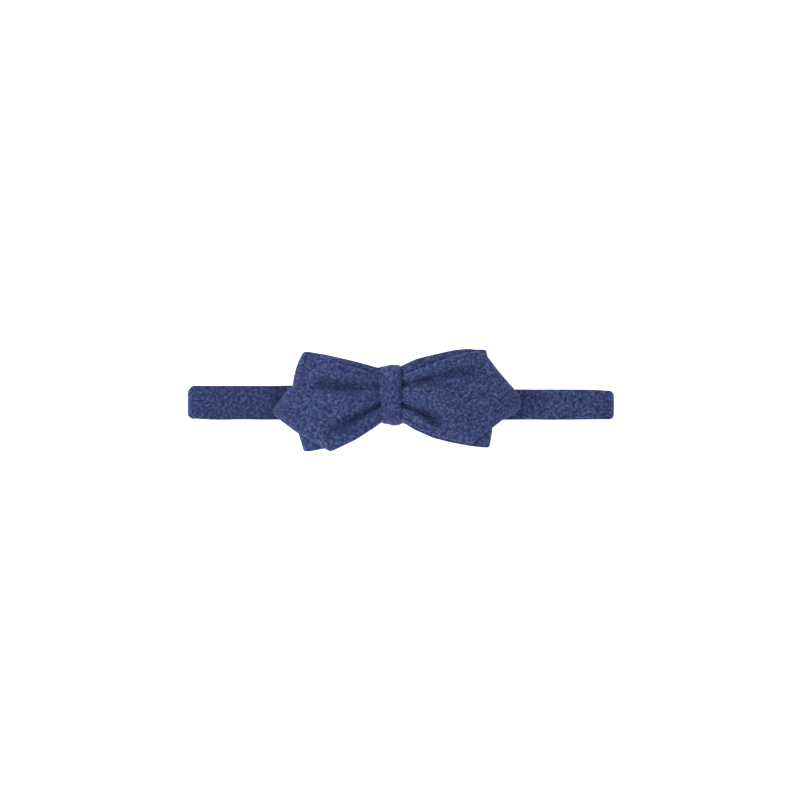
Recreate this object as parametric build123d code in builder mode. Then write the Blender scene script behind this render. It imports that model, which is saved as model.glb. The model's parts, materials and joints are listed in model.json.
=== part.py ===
"""Pre-tied bow tie with diamond points on an adjustable neckband, lying flat on its back.

X runs along the neckband, Y up the bow, Z out of the bow's face. The origin is under the
middle of the object, on the surface it lies on. All sizes are in millimetres.
"""

import math
import os

from build123d import *

# ---- driving dimensions ------------------------------------------------------------------
LENGTH = 208.2  # the closed neckband, folded flat
BAND_T = 1.2  # neckband: wool, interlining and wool
CORE_T = 0.3  # interlining
BAND_BOTTOM = -9.6  # lower edge of the neckband
LEFT_W, RIGHT_W = 16.6, 14.7  # the neckband is a little wider on its left half
FRONT_Z = 8.4  # mid-plane of the front run of the neckband
BACK_Z = BAND_T / 2  # mid-plane of the back run
GAP = 0.05  # between layers of cloth that touch

FOLD_R = (FRONT_Z - BACK_Z) / 2  # end folds of the flattened neckband
FOLD_X = LENGTH / 2 - FOLD_R - BAND_T / 2
FOLD_Z = (FRONT_Z + BACK_Z) / 2
BEND_X = 34.0  # where the ring bends when it opens: a regular hexagon's corners
BEND_L = 8.0  # length of cloth that takes each bend
CLASP = (BEND_X, 2.0)  # x and z of the eye's bar, which the hook holds

KNOT_X, KNOT_Y = -4.5, 2.3
KNOT_W = 11.0
KNOT_H = 28.8
PINCH = (-10.2, 1.2)  # the knot gathers the cloth to its narrowest between these x
KNOT_Z = (6.25, 19.5)
LOOP_Z = (9.1, 15.4)  # the back loop, flattened
CLOTH_T = 0.9  # one layer of wool
LINING_T = 0.4

BAR_Z = 2.95  # mid-plane of the three-bar slide
SLIDE_X = -3.0
SLIDE_PITCH = 5.0  # between bars
HOOK_BAR_X = 23.8
HOOK_Z = 3.25
METAL_T = 0.9

LEFT_Y = BAND_BOTTOM + LEFT_W / 2
RIGHT_Y = BAND_BOTTOM + RIGHT_W / 2


def save(part, name):
    """Labels a finished piece and writes it."""
    part.label = name
    export_step(part, f"parts/{name}.step")


def ribbon(points, radii, thickness, width, y):
    """A strip of cloth along a path of (x, z) points with rounded corners."""
    with BuildPart() as made:
        with BuildSketch(Plane.XZ.offset(-y)):
            with BuildLine():
                if len(points) == 2:
                    Line(*points)
                else:
                    FilletPolyline(*points, radius=radii)
            trace(line_width=thickness)
        extrude(amount=width / 2, both=True)
    return made.part


def band(name, points, radii, width, y):
    """One stretch of neckband: the wool cover as a flat tube, and its interlining inside."""
    outside = ribbon(points, radii, BAND_T, width, y)
    hollow = ribbon(points, radii, CORE_T + 2 * GAP, width - 2.4, y)
    core = ribbon(points, radii, CORE_T, width - 2.6, y)
    with BuildPart() as cover:
        add(outside)
        add(hollow, mode=Mode.SUBTRACT)
    save(cover.part, name)
    save(core, f"{name}_interlining")


# ---- neckband ----------------------------------------------------------------------------
def fold(side, width, y):
    """The U-turn at one end of the flattened neckband, with its interlining."""
    x = side * FOLD_X
    turn = -90 if side > 0 else 90
    for name, thick, wide in (("", BAND_T, width), ("_interlining", CORE_T, width - 2.6)):
        with BuildPart() as made:
            with BuildSketch(Plane.XZ.offset(-y)):
                with BuildLine():
                    CenterArc((x, FOLD_Z), FOLD_R, turn, 180)
                trace(line_width=thick)
            extrude(amount=wide / 2, both=True)
            if not name:
                with BuildSketch(Plane.XZ.offset(-y)):
                    with BuildLine():
                        CenterArc((x, FOLD_Z), FOLD_R, turn, 180)
                    trace(line_width=CORE_T + 2 * GAP)
                extrude(amount=width / 2 - 1.2, both=True, mode=Mode.SUBTRACT)
        label = "left" if side < 0 else "right"
        save(made.part, f"band_fold_{label}{name}")


def neckband():
    left_bar, right_bar = SLIDE_X - SLIDE_PITCH, SLIDE_X + SLIDE_PITCH
    rise = 3.1  # from the centre bar to the middle of the cloth that passes over it
    under = BAR_Z - METAL_T / 2 - GAP - BAND_T / 2
    over = 5.3
    seam = 0.02  # stretches on different bodies meet face to face, this far apart

    bend = BEND_X + BEND_L / 2
    stretches = (
        ("band_left_lower", -FOLD_X, -bend - seam, BACK_Z, LEFT_W, LEFT_Y),
        ("band_left_upper", -FOLD_X, -bend - seam, FRONT_Z, LEFT_W, LEFT_Y),
        ("band_front_left", -bend + seam, KNOT_X, FRONT_Z, LEFT_W, LEFT_Y),
        ("band_front_right", KNOT_X, bend - seam, FRONT_Z, RIGHT_W, RIGHT_Y),
        ("band_right_upper", bend + seam, FOLD_X, FRONT_Z, RIGHT_W, RIGHT_Y),
        ("band_back_bend", -bend + seam, -bend + BEND_L + 3, BACK_Z, LEFT_W, LEFT_Y),
    )
    for name, start, end, z, width, y in stretches:
        band(name, [(start, z), (end, z)], None, width, y)
    fold(-1, LEFT_W, LEFT_Y)
    fold(1, RIGHT_W, RIGHT_Y)

    # the back run comes from the left, dips under the slide's left bar and climbs its slot
    band(
        "band_back_left",
        [(-bend + BEND_L + 3, BACK_Z), (left_bar - 5, BACK_Z), (left_bar - 1, under),
         (left_bar + 1.15, under)],
        1.0, RIGHT_W, RIGHT_Y,
    )
    # over the centre bar, on top of the end that is sewn round it
    band(
        "band_slide_hump",
        [(left_bar + 1.25, under), (SLIDE_X - rise, under), (SLIDE_X - rise, over),
         (SLIDE_X + rise, over), (SLIDE_X + rise, under), (right_bar - 1.25, under)],
        0.62, RIGHT_W, RIGHT_Y,
    )
    # on to the hook, round its bar, and back along the table as the tail
    turn_r = METAL_T / 2 + GAP + BAND_T / 2
    turn_x = HOOK_BAR_X + 0.25
    band(
        "band_back_right",
        [(right_bar - 1.15, under), (right_bar + 1.5, under),
         (HOOK_BAR_X - 5, HOOK_Z + turn_r), (HOOK_BAR_X - 1.02, HOOK_Z + turn_r)],
        2.0, RIGHT_W, RIGHT_Y,
    )
    with BuildPart() as turn:
        with BuildSketch(Plane.XZ.offset(-RIGHT_Y)):
            with BuildLine():
                Line((HOOK_BAR_X - 1, HOOK_Z + turn_r), (turn_x, HOOK_Z + turn_r))
                CenterArc((turn_x, HOOK_Z), turn_r, -90, 180)
                Line((turn_x, HOOK_Z - turn_r), (HOOK_BAR_X - 1, HOOK_Z - turn_r))
            trace(line_width=BAND_T)
        extrude(amount=RIGHT_W / 2, both=True)
    save(turn.part, "band_hook_turn")
    band(
        "band_tail",
        [(HOOK_BAR_X - 1.02, HOOK_Z - turn_r), (HOOK_BAR_X - 5, HOOK_Z - turn_r),
         (HOOK_BAR_X - 10, BACK_Z), (right_bar + 1.5, BACK_Z)],
        2.0, RIGHT_W, RIGHT_Y,
    )
    # its end wraps the slide's centre bar and is sewn down on itself
    loop_r = METAL_T / 2 + GAP + BAND_T / 2
    inner = 0.85 + GAP + BAND_T / 2
    tail_end = ribbon(
        [(right_bar + 1.48, BACK_Z), (SLIDE_X - inner, BACK_Z),
         (SLIDE_X - inner, BAR_Z + loop_r), (SLIDE_X + inner, BAR_Z + loop_r),
         (SLIDE_X + inner, BACK_Z + BAND_T + 0.5)],
        0.62, BAND_T, RIGHT_W, RIGHT_Y,
    )
    save(tail_end, "band_tail_end")
    with BuildPart() as tack:
        with Locations(Location((SLIDE_X + inner, RIGHT_Y, BACK_Z + BAND_T / 2 + 0.22))):
            with GridLocations(0, 2.0, 1, 7):
                Box(0.5, 1.4, 0.4)
    save(tack.part, "tail_tack_stitches")

    # the right half of the back run ends in a loop sewn round the eye's far bar
    far_x = CLASP[0] + 10
    bar_r = 0.7
    loop = bar_r + GAP + BAND_T / 2
    eye_end = ribbon(
        [(FOLD_X, BACK_Z), (far_x - 2.2, BACK_Z), (far_x - loop - 0.2, CLASP[1]),
         (far_x - 0.9, CLASP[1] + loop), (far_x + 1.2, CLASP[1] + loop),
         (far_x + 5, BACK_Z + BAND_T + 0.1), (far_x + 13, BACK_Z + BAND_T + 0.1)],
        [0.9, 0.62, 0.62, 1.0, 2.0], BAND_T, RIGHT_W, RIGHT_Y,
    )
    save(eye_end, "band_right_lower")
    with BuildPart() as bartack:
        with Locations(Location((far_x + 9, RIGHT_Y, BACK_Z + 1.5 * BAND_T + 0.23))):
            with GridLocations(2.4, 1.5, 2, 9):
                Box(0.45, 1.1, 0.25)
    save(bartack.part, "eye_bartack_stitches")


# ---- metal fittings ----------------------------------------------------------------------
def fittings():
    # three-bar slide
    frame_l, frame_w = 2 * SLIDE_PITCH + 1.7, RIGHT_W + 4.2
    slot_l, slot_w = SLIDE_PITCH - 1.7, RIGHT_W + 0.8
    with BuildPart() as slide:
        with BuildSketch(Plane((SLIDE_X, RIGHT_Y, BAR_Z - METAL_T / 2))):
            RectangleRounded(frame_l, frame_w, 1.6)
            with Locations((-SLIDE_PITCH / 2, 0), (SLIDE_PITCH / 2, 0)):
                RectangleRounded(slot_l, slot_w, 0.5, mode=Mode.SUBTRACT)
        extrude(amount=METAL_T)
        fillet(slide.edges().group_by(Axis.Z)[0], 0.2)
        fillet(slide.edges().group_by(Axis.Z)[-1], 0.2)
    save(slide.part, "slide_adjuster")

    # hook: a slotted plate for the strap, and a tongue that curls round the eye's bar
    plate_l = 7.4
    plate_x = HOOK_BAR_X - 0.6
    tongue_w = 7.0
    grip_r = 0.7 + 0.15 + 0.4  # the eye's bar, running clearance, and half the tongue
    with BuildPart() as hook:
        with BuildSketch(Plane((plate_x, RIGHT_Y, HOOK_Z - 0.4))):
            with Locations((plate_l / 2, 0)):
                RectangleRounded(plate_l, RIGHT_W + 3.4, 1.4)
            with Locations((3.45, 0)):
                RectangleRounded(4.5, RIGHT_W + 0.8, 0.5, mode=Mode.SUBTRACT)
        extrude(amount=0.8)
        fillet(hook.edges().group_by(Axis.Z)[0], 0.15)
        fillet(hook.edges().group_by(Axis.Z)[-1], 0.15)
        with BuildSketch(Plane.XZ.offset(-RIGHT_Y)):
            with BuildLine():
                Line((plate_x + plate_l - 1.0, CLASP[1] + grip_r), (CLASP[0], CLASP[1] + grip_r))
                CenterArc(CLASP, grip_r, -90, 180)
                Line((CLASP[0], CLASP[1] - grip_r), (CLASP[0] - 2.6, CLASP[1] - grip_r))
            trace(line_width=0.8)
        extrude(amount=tongue_w / 2, both=True)
    save(hook.part, "hook")

    # eye: a rectangular ring of round wire
    wire_r = 0.7
    length, wide = 10.0, RIGHT_W + 2.2
    with BuildSketch(Plane((CLASP[0] + length / 2, RIGHT_Y, CLASP[1]))) as outline:
        RectangleRounded(length, wide, 1.3)
    path = outline.sketch.face().outer_wire()
    with BuildPart() as eye:
        with BuildSketch(Plane(origin=path @ 0, z_dir=path % 0)):
            Circle(wire_r)
        sweep(path=path)
    save(eye.part, "eye_ring")


# ---- the bow -----------------------------------------------------------------------------
def blade_outline(inset=0.0):
    """The front strip seen from the face: a diamond point at each end, gathered at the knot."""
    with BuildSketch() as made:
        with BuildLine():
            Polyline(
                (-62.2, -4.4), (-51.8, 6.6), (-39.5, 17.0), (-31.5, 18.0), (PINCH[0], 13.6),
                (PINCH[1], 13.6), (20.0, 19.2), (36.0, 22.6), (41.2, 22.4), (52.0, 9.0),
                (58.4, 1.0), (58.4, -3.2), (54.6, -7.2), (45.0, -13.0), (33.5, -21.6), (17.0, -16.8),
                (PINCH[1], -9.4), (PINCH[0], -9.4), (-16.0, -15.6), (-34.0, -24.8),
                (-50.4, -15.6), (-60.2, -9.4),
                close=True,
            )
        make_face()
        fillet(made.vertices().group_by(Axis.X)[0], 1.5)
        if inset:
            offset(amount=-inset)
    return made.sketch


def arch(z):
    """The front strip's mid-surface seen from the side, with its middle at height z."""
    return [
        (-66, z - 2.4), (-56, z - 0.4), (-46, z + 1.2), (-34, z + 2.1), (-16, z + 1.1),
        (KNOT_X, z + 0.1), (8, z + 1.1), (24, z + 2.1), (38, z + 1.9), (48, z + 1.0),
        (62, z - 1.6),
    ]


def front_blade():
    """Face, interlining and lining of the front strip, one above the other."""
    low = LOOP_Z[1] + GAP + CLOTH_T / 2
    step = CLOTH_T / 2 + GAP + LINING_T / 2
    layers = (
        ("front_blade_lining", low, CLOTH_T, 0),
        ("front_blade_interlining", low + step, LINING_T, 1.0),
        ("front_blade_face", low + 2 * step, CLOTH_T, 0),
    )
    for name, z, thick, inset in layers:
        with BuildPart() as made:
            with BuildSketch(Plane.XZ):
                with BuildLine():
                    Spline(*arch(z))
                trace(line_width=thick)
            extrude(amount=30, both=True)
            with BuildSketch(Plane.XY.offset(LOOP_Z[0])):
                add(blade_outline(inset))
            extrude(amount=12, mode=Mode.INTERSECT)
        save(made.part, name)


def back_loop():
    """The back strip, folded into a flat loop: wool outside, interlining, wool inside."""
    left, right = -52.3, 44.8
    mid_x, mid_z = (left + right) / 2, (LOOP_Z[0] + LOOP_Z[1]) / 2
    with BuildPart() as plan:
        with BuildSketch(Plane.XY.offset(LOOP_Z[0] - 1)):
            with BuildLine():
                Polyline(
                    (-46.4, -25.0), (-39.0, -23.7), (PINCH[0], -9.4), (PINCH[1], -9.4),
                    (42.4, -23.2),
                )
                ThreePointArc((42.4, -23.2), (44.6, -3.0), (40.8, 24.6))
                Polyline(
                    (40.8, 24.6), (34.0, 25.0), (20.0, 21.5), (PINCH[1], 13.6),
                    (PINCH[0], 13.6), (-46.6, 23.4),
                )
                ThreePointArc((-46.6, 23.4), (-52.1, 4.0), (-46.4, -25.0))
            make_face()
        extrude(amount=LOOP_Z[1] - LOOP_Z[0] + 2)
    skins = (
        ("back_loop_outer", 0, CLOTH_T),
        ("back_loop_interlining", CLOTH_T + GAP, LINING_T),
        ("back_loop_lining", CLOTH_T + LINING_T + 2 * GAP, CLOTH_T),
    )
    for name, depth, thick in skins:
        length, height = right - left - 2 * depth, LOOP_Z[1] - LOOP_Z[0] - 2 * depth
        with BuildPart() as made:
            with BuildSketch(Plane.XZ):
                with Locations((mid_x, mid_z)):
                    SlotOverall(length, height)
                    SlotOverall(length - 2 * thick, height - 2 * thick, mode=Mode.SUBTRACT)
            extrude(amount=30, both=True)
            add(plan.part, mode=Mode.INTERSECT)
        save(made.part, name)


def knot():
    """The wrap round the middle, its stiffener and the stitches that close it."""
    mid_z = (KNOT_Z[0] + KNOT_Z[1]) / 2
    height = KNOT_Z[1] - KNOT_Z[0]
    wrap_t, stiff_t = 1.0, 0.35
    for name, depth, thick, width in (
        ("knot_wrap", 0.0, wrap_t, KNOT_W),
        ("knot_interlining", wrap_t + GAP, stiff_t, KNOT_W - 1.6),
    ):
        with BuildPart() as made:
            with BuildSketch(Plane.YZ.offset(KNOT_X)):
                with Locations((KNOT_Y, mid_z)):
                    RectangleRounded(KNOT_H - 2 * depth, height - 2 * depth, 3.0 - depth)
                    RectangleRounded(
                        KNOT_H - 2 * (depth + thick), height - 2 * (depth + thick),
                        3.0 - depth - thick, mode=Mode.SUBTRACT,
                    )
            extrude(amount=width / 2, both=True)
        save(made.part, name)
    with BuildPart() as stitches:
        with Locations(Location((KNOT_X, KNOT_Y, KNOT_Z[0] - 0.13))):
            with GridLocations(0, 2.2, 1, 9):
                Box(2.4, 0.5, 0.24)
    save(stitches.part, "knot_closing_stitches")


os.makedirs("parts", exist_ok=True)
neckband()
fittings()
front_blade()
back_loop()
knot()
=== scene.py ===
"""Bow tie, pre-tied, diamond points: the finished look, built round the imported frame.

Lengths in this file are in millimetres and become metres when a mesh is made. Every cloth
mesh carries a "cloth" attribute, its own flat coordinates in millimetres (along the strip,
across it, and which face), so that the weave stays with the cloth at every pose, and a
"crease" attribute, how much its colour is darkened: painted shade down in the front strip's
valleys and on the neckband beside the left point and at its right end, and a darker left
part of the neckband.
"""

import json
import math

import bmesh
import bpy
import numpy as np
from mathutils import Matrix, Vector


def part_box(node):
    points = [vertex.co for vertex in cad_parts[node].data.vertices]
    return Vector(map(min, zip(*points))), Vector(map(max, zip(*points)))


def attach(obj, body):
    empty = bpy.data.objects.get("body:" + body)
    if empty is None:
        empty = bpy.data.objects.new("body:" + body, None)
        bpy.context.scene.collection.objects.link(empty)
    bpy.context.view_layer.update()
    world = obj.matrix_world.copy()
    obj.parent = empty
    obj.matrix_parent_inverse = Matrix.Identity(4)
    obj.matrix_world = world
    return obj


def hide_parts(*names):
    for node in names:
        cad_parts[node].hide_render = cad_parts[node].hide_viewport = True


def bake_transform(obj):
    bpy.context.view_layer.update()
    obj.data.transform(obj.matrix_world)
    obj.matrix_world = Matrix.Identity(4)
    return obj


MM = 0.001
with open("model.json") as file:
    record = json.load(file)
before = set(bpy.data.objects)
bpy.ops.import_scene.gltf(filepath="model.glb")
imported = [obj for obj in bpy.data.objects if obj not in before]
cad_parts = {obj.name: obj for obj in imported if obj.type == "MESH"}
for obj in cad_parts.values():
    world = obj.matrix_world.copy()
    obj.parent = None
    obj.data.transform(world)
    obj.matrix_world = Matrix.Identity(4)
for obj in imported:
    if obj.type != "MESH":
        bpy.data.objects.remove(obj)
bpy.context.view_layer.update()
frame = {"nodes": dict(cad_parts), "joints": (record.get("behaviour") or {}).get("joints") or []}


def span(node):
    """Lowest and highest corner of a CAD node, in millimetres."""
    lo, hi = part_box(node)
    return np.array(lo) / MM, np.array(hi) / MM


# ---- sizes read from the frame -----------------------------------------------------------
left_lo, left_hi = span("band_left_upper")
right_lo, right_hi = span("band_right_upper")
low_lo, low_hi = span("band_left_lower")
BAND_T = left_hi[2] - left_lo[2]  # the neckband's thickness
FRONT_Z = (left_hi[2] + left_lo[2]) / 2  # mid-height of its front run
BACK_Z = (low_hi[2] + low_lo[2]) / 2  # and of its back run
LEFT_Y = (left_lo[1] + left_hi[1]) / 2
RIGHT_Y = (right_lo[1] + right_hi[1]) / 2
LEFT_W = left_hi[1] - left_lo[1]
RIGHT_W = right_hi[1] - right_lo[1]
FOLD_R = (FRONT_Z - BACK_Z) / 2  # the end folds: radius, height and x of their middle line
FOLD_Z = (FRONT_Z + BACK_Z) / 2
LEFT_FOLD_X = span("band_fold_left")[0][0] + FOLD_R + BAND_T / 2
RIGHT_FOLD_X = span("band_fold_right")[1][0] - FOLD_R - BAND_T / 2
JOINTS = {j["name"]: j for j in frame["joints"]}
BEND = abs(JOINTS["left_shoulder"]["pos_m"][0]) / MM  # the ring bends at this x, left and right
MEET = BEND + 10  # stretches of strap meet here, under the bow
BACK_SEAM_X = -27  # the back bend meets the run to the slide here
RIGHT_SEAM_X = 70  # the right fold meets the run to the eye here

# ---- sizes of the finished look ----------------------------------------------------------
KNOT_X = -4.7  # middle of the knot
FACE_W = 3.0  # third cloth coordinate of a sheet's two faces, + and -, so that their flecks differ
STRAP_RIM = np.array([0.0, 0.10, 0.3, 0.6, 1.0, 1.6])  # places from the edge, close together there
SHEET_RIM = np.array([0, 0.08, 0.25, 0.5, 0.85, 1.3, 1.9])
METAL_T = 0.9  # thickness of the slide
SLIDE_BAR = 1.7  # width of its bars
EYE_WIRE = 1.4  # width of the eye's far bar
CLEAR = 0.05  # between metal and the cloth round it
TURN_SHIFT = 0.25  # the strap's turn lies this far past the start of the hook's bar
SLIM_WALL = BAND_T / 2 - 0.08  # half thickness of a strap pressed against itself
PATH_STEP = 0.8  # between rings of a strap through the fittings
EDGE_ROLL = 0.75  # radius of a strap's rolled edges
FULLNESS = 0.10  # how much a strap stands up between its edges, on each face
EDGE_WOBBLE, FACE_WOBBLE = 0.14, 0.03  # slow waves along its edges and over its faces
SLIM_RUN = 10  # a strap gets slimmer over this length before an end fold
THINNEST = 0.15  # least share of its thickness at the fold's corner
# some pieces are cut from another place in the cloth, so that they don't repeat its flecks
CUT_BACK, CUT_TAIL, CUT_EYE, CUT_KNOT = -130, -128, 100, 300
CUT_LOOP = (17, 20)
# where the neckband's colour is darkened: a darker left part, a painted shadow beside the left point,
# painted shade at the right end: (x, length of the change, how much)
DARKER_LEFT = (-46, 8, 0.8)
PAINTED_SHADOW_SPOT = (-60.5, 3.5, 1.3)
PAINTED_SHADE_RIGHT = (96, 5, 0.9)


# ---- meshes ------------------------------------------------------------------------------
def make_mesh(name, verts, faces, cloth, material, painted_shade_and_tone_levels=None):
    """An object with smooth faces and its cloth coordinates."""
    mesh = bpy.data.meshes.new(name)
    mesh.from_pydata((np.asarray(verts) * MM).tolist(), [], faces)
    flat = mesh.attributes.new("cloth", "FLOAT_VECTOR", "POINT")
    flat.data.foreach_set("vector", np.asarray(cloth, dtype=np.float32).ravel())
    # the "crease" attribute holds painted shade and a darker tone: how much the colour is darkened
    # towards WOOL_DARK
    painted_shade_and_tone = mesh.attributes.new("crease", "FLOAT", "POINT")
    if painted_shade_and_tone_levels is not None:
        painted_shade_and_tone.data.foreach_set("value", np.asarray(painted_shade_and_tone_levels, dtype=np.float32).ravel())
    mesh.polygons.foreach_set("use_smooth", [len(f.vertices) < 5 for f in mesh.polygons])
    mesh.materials.append(material)
    mesh.validate()
    mesh.update()
    obj = bpy.data.objects.new(name, mesh)
    bpy.context.scene.collection.objects.link(obj)
    return obj


def weld(obj, distance):
    """Joins points that lie within a distance (mm) and turns every face outwards."""
    bm = bmesh.new()
    bm.from_mesh(obj.data)
    bmesh.ops.remove_doubles(bm, verts=bm.verts, dist=distance * MM)
    bmesh.ops.recalc_face_normals(bm, faces=bm.faces)
    bm.to_mesh(obj.data)
    bm.free()
    return obj


def grid_faces(rows, columns, start, flip):
    """Quads of a rows x columns grid of points numbered from start."""
    faces = []
    for i in range(rows - 1):
        for j in range(columns - 1):
            a = start + i * columns + j
            quad = (a, a + 1, a + columns + 1, a + columns)
            faces.append(quad[::-1] if flip else quad)
    return faces


def tube_faces(rings, around, closed=False):
    """Quads of a tube of rings of points, each ring numbered after the one before."""
    faces = []
    for i in range(rings if closed else rings - 1):
        a, b = i * around, (i + 1) % rings * around
        for j in range(around):
            k = (j + 1) % around
            faces.append((a + j, b + j, b + k, a + k))
    return faces


def rimmed(width, rim, inner):
    """Places from 0 to width, close together at both ends."""
    return np.r_[rim, np.linspace(rim[-1], width - rim[-1], inner)[1:-1], (width - rim)[::-1]]


def normals(steps):
    """The direction square to each step of a path, on its left."""
    tangent = steps / np.linalg.norm(steps, axis=1)[:, None]
    return np.stack([-tangent[:, 1], tangent[:, 0]], axis=1)


def lengths_along(path):
    """Length of a path up to each of its points."""
    return np.r_[0, np.cumsum(np.linalg.norm(np.diff(path, axis=0), axis=1))]


def rolled(edge, radius):
    """Share of the full thickness at a distance from a rounded edge."""
    return np.sqrt(1 - (1 - np.clip(edge / radius, 0, 1)) ** 2)


def smooth_step(t):
    t = np.clip(t, 0, 1)
    return t * t * (3 - 2 * t)


def wave(x, seed):
    """A slow, irregular wobble between about -1 and 1 along x (mm)."""
    return (
        0.5 * np.sin(x / 9.1 + seed)
        + 0.3 * np.sin(x / 4.3 + 2.1 * seed)
        + 0.2 * np.sin(x / 2.3 + 3.7 * seed)
    )


# ---- procedural materials ----------------------------------------------------------------
class Nodes:
    """A few words for wiring shader nodes."""

    def __init__(self, tree):
        self.tree = tree

    def add(self, kind, inputs=(), **settings):
        node = self.tree.nodes.new("ShaderNode" + kind)
        for key, value in settings.items():
            setattr(node, key, value)
        for key, value in dict(inputs).items():
            self.put(node.inputs[key], value)
        return node

    def put(self, socket, value):
        if isinstance(value, bpy.types.NodeSocket):
            self.tree.links.new(value, socket)
        else:
            socket.default_value = value

    def math(self, operation, *values):
        node = self.add("Math", operation=operation)
        for socket, value in zip(node.inputs, values):
            self.put(socket, value)
        return node.outputs[0]

    def noise(self, vector, scale, detail=2.0, roughness=0.5):
        node = self.add(
            "TexNoise", {"Vector": vector, "Scale": scale, "Detail": detail, "Roughness": roughness}
        )
        return node.outputs["Fac"]

    def stretch(self, vector, scale, rotation=(0, 0, 0)):
        return self.add(
            "Mapping", {"Vector": vector, "Scale": scale, "Rotation": rotation}
        ).outputs[0]

    def ramp(self, value, stops):
        node = self.add("ValToRGB", {"Fac": value})
        ramp = node.color_ramp
        while len(ramp.elements) < len(stops):
            ramp.elements.new(0.5)
        for element, (place, colour) in zip(ramp.elements, stops):
            element.position = place
            element.color = (*colour, 1.0)
        return node.outputs[0]

    def mix(self, factor, a, b, blend="MIX"):
        node = self.add("Mix", data_type="RGBA", blend_type=blend)
        self.put(node.inputs[0], factor)
        self.put(node.inputs[6], a)
        self.put(node.inputs[7], b)
        return node.outputs[2]

    def surface(self, shader):
        self.tree.links.new(shader.outputs[0], self.add("OutputMaterial").inputs["Surface"])


def new_material(name):
    material = bpy.data.materials.new(name)
    material.use_nodes = True
    material.node_tree.nodes.clear()
    return material, Nodes(material.node_tree)


def srgb(r, g, b):
    """Linear colour of an 8-bit sRGB one."""
    return tuple(
        c / 12.92 if c <= 0.04045 else ((c + 0.055) / 1.055) ** 2.4
        for c in (r / 255, g / 255, b / 255)
    )


WOOL_DARK = srgb(22, 30, 63)
WOOL_MID = srgb(41, 53, 97)
WOOL_BLUE = srgb(62, 76, 129)
WOOL_PALE = srgb(104, 117, 168)
SHEEN = (0.45, 0.54, 0.95, 1.0)
TWILL_ANGLE = math.radians(52)
FLECK_ANGLE = math.radians(-38)
FIBRE_ANGLE = math.radians(20)
THREAD_ANGLE = math.radians(35)


def wool_material():
    """Melange wool tweed: a soft 2/2 twill of mixed navy and blue fibres, matt and fuzzy."""
    material, n = new_material("wool_tweed")
    cloth = n.add("Attribute", attribute_name="cloth").outputs["Vector"]

    # yarns: the twill's diagonal, broken up so that no line runs far
    wander = n.add("TexNoise", {"Vector": cloth, "Scale": 0.35}).outputs["Color"]
    drift = n.add("VectorMath", {0: wander, 1: (1.6, 1.6, 1.6)}, operation="MULTIPLY").outputs[0]
    bent = n.add("VectorMath", {0: cloth, 1: drift}, operation="ADD").outputs[0]
    twill = n.add(
        "TexWave",
        {
            "Vector": n.stretch(bent, (1.0, 1.0, 1.0), (0, 0, TWILL_ANGLE)),
            "Scale": 0.42,
            "Distortion": 2.2,
            "Detail": 2.0,
            "Detail Scale": 1.4,
        },
        bands_direction="X",
    ).outputs["Fac"]
    # flecks of dyed fibre, a little longer along the twill than across it
    flecks = n.noise(n.stretch(bent, (0.86, 1.0, 1.0), (0, 0, FLECK_ANGLE)), 0.85, 2.5, 0.6)
    specks = n.noise(n.stretch(bent, (1.3, 1.3, 1.3)), 1.7)
    blotch = n.noise(cloth, 0.11)
    fibre = n.noise(n.stretch(bent, (1.3, 2.4, 1.0), (0, 0, FIBRE_ANGLE)), 3.2, 3.0, 0.7)

    mixed = n.math("ADD", n.math("MULTIPLY", flecks, 0.62), n.math("MULTIPLY", specks, 0.26))
    mixed = n.math("ADD", mixed, n.math("MULTIPLY", twill, 0.12))
    colour = n.ramp(
        mixed, [(0.36, WOOL_DARK), (0.46, WOOL_MID), (0.54, WOOL_BLUE), (0.65, WOOL_PALE)]
    )
    tint = n.ramp(blotch, [(0.3, (0.90, 0.95, 0.97)), (0.7, (1.08, 1.03, 1.03))])
    colour = n.mix(1.0, colour, tint, "MULTIPLY")
    pale = n.math("MULTIPLY", n.math("SUBTRACT", fibre, 0.45), 0.7)
    colour = n.mix(pale, colour, (*WOOL_PALE, 1))

    # painted shade: the crease attribute darkens the colour towards WOOL_DARK, down in the front
    # strip's valleys, beside the left point and at the right end of the neckband; it also makes the
    # neckband's left part darker
    painted_shade_and_tone = n.add("Attribute", attribute_name="crease").outputs["Fac"]
    colour = n.mix(n.math("MULTIPLY", painted_shade_and_tone, 0.25), colour, (*WOOL_DARK, 1))

    height = n.math("ADD", n.math("MULTIPLY", twill, 0.35), n.math("MULTIPLY", fibre, 0.55))
    height = n.math("ADD", height, n.math("MULTIPLY", flecks, 0.6))
    bump = n.add("Bump", {"Height": height, "Strength": 0.75, "Distance": 0.00035}).outputs[0]
    n.surface(
        n.add(
            "BsdfPrincipled",
            {
                "Base Color": colour,
                "Roughness": 0.92,
                "Specular IOR Level": 0.18,
                "Sheen Weight": 0.14,
                "Sheen Roughness": 0.6,
                "Sheen Tint": SHEEN,
                "Normal": bump,
            },
        )
    )
    return material


def thread_material():
    """Twisted navy sewing thread."""
    material, n = new_material("navy_thread")
    cloth = n.add("Attribute", attribute_name="cloth").outputs["Vector"]
    twisted = n.stretch(cloth, (1, 1, 1), (0, 0, THREAD_ANGLE))
    twist = n.add("TexWave", {"Vector": twisted, "Scale": 3.0, "Distortion": 0.6}).outputs["Fac"]
    colour = n.ramp(twist, [(0.2, srgb(24, 30, 62)), (0.9, srgb(46, 56, 100))])
    bump = n.add("Bump", {"Height": twist, "Strength": 0.6, "Distance": 0.00008}).outputs[0]
    shader = {"Base Color": colour, "Roughness": 0.55, "Sheen Weight": 0.2, "Normal": bump}
    n.surface(n.add("BsdfPrincipled", shader))
    return material


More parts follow.
